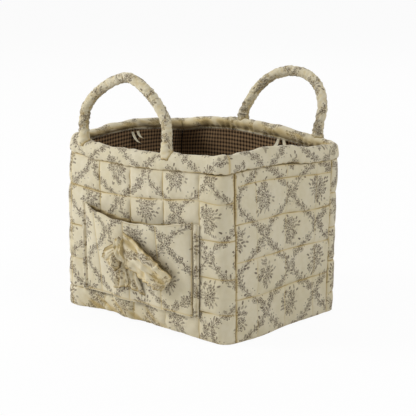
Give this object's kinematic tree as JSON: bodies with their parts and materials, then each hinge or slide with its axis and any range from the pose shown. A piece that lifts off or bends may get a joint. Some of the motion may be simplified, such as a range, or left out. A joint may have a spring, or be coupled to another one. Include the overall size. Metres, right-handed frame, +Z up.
{
  "type": "fabric storage basket",
  "caption": "Open rectangular quilted fabric basket with a padded rim, rope handles in gathered sleeves, a front pocket with a bow and a checked lining.",
  "frame": {"origin": "middle of the underside, on the ground", "axes": "+Z up, +X to the right along the front wall as seen from the front, the pocket faces -Y"},
  "size_m": [0.322, 0.3191, 0.3586],
  "materials": {
    "printed_cotton": "matt quilted cotton with a small sketched print",
    "checked_cotton": "matt cotton with a small two-tone check",
    "foam_sheet": "soft white foam and wadding",
    "raw_rope": "soft cotton rope",
    "cotton_tape": "matt woven tape",
    "stiff_board": "plain board"
  },
  "bodies": {
    "basket": {"front_outer_panel": "printed_cotton", "right_outer_panel": "printed_cotton", "back_outer_panel": "printed_cotton", "left_outer_panel": "printed_cotton", "bottom_outer_panel": "printed_cotton", "rim_band": "printed_cotton", "front_handle_left_end": "printed_cotton", "front_handle_right_end": "printed_cotton", "back_handle_left_end": "printed_cotton", "back_handle_right_end": "printed_cotton", "pocket_panel": "printed_cotton", "pocket_left_binding": "printed_cotton", "pocket_right_binding": "printed_cotton", "bow_knot": "printed_cotton", "bow_left_loop": "printed_cotton", "bow_right_loop": "printed_cotton", "bow_left_tail": "printed_cotton", "bow_right_tail": "printed_cotton", "front_lining": "checked_cotton", "right_lining": "checked_cotton", "back_lining": "checked_cotton", "left_lining": "checked_cotton", "bottom_lining": "checked_cotton", "front_foam_sheet": "foam_sheet", "right_foam_sheet": "foam_sheet", "back_foam_sheet": "foam_sheet", "left_foam_sheet": "foam_sheet", "rim_wadding": "foam_sheet", "base_board": "stiff_board"},
    "front_handle": {"front_handle_sleeve": "printed_cotton", "front_handle_rope": "raw_rope"},
    "back_handle": {"back_handle_sleeve": "printed_cotton", "back_handle_rope": "raw_rope"},
    "front_tie": {"front_tie": "cotton_tape"},
    "right_tie": {"right_tie": "cotton_tape"},
    "back_tie": {"back_tie": "cotton_tape"},
    "left_tie": {"left_tie": "cotton_tape"}
  },
  "joints": [
    {"name": "front_handle_swing", "type": "hinge", "parent": "basket", "child": "front_handle", "pos_m": [-0.037, -0.117, 0.2683], "axis": [1, 0, 0], "range_deg": [-92, 100]},
    {"name": "back_handle_swing", "type": "hinge", "parent": "basket", "child": "back_handle", "pos_m": [0.05, 0.117, 0.2683], "axis": [1, 0, 0], "range_deg": [-72, 120]},
    {"name": "front_tie_swing", "type": "hinge", "parent": "basket", "child": "front_tie", "pos_m": [-0.037, -0.1137, 0.2389], "axis": [1, 0, 0], "range_deg": [0, 90]},
    {"name": "back_tie_swing", "type": "hinge", "parent": "basket", "child": "back_tie", "pos_m": [0.05, 0.1137, 0.2389], "axis": [-1, 0, 0], "range_deg": [0, 90]},
    {"name": "right_tie_swing", "type": "hinge", "parent": "basket", "child": "right_tie", "pos_m": [0.1487, -0.012, 0.2389], "axis": [0, 1, 0], "range_deg": [0, 90]},
    {"name": "left_tie_swing", "type": "hinge", "parent": "basket", "child": "left_tie", "pos_m": [-0.1487, 0.012, 0.2389], "axis": [0, -1, 0], "range_deg": [0, 90]}
  ]
}
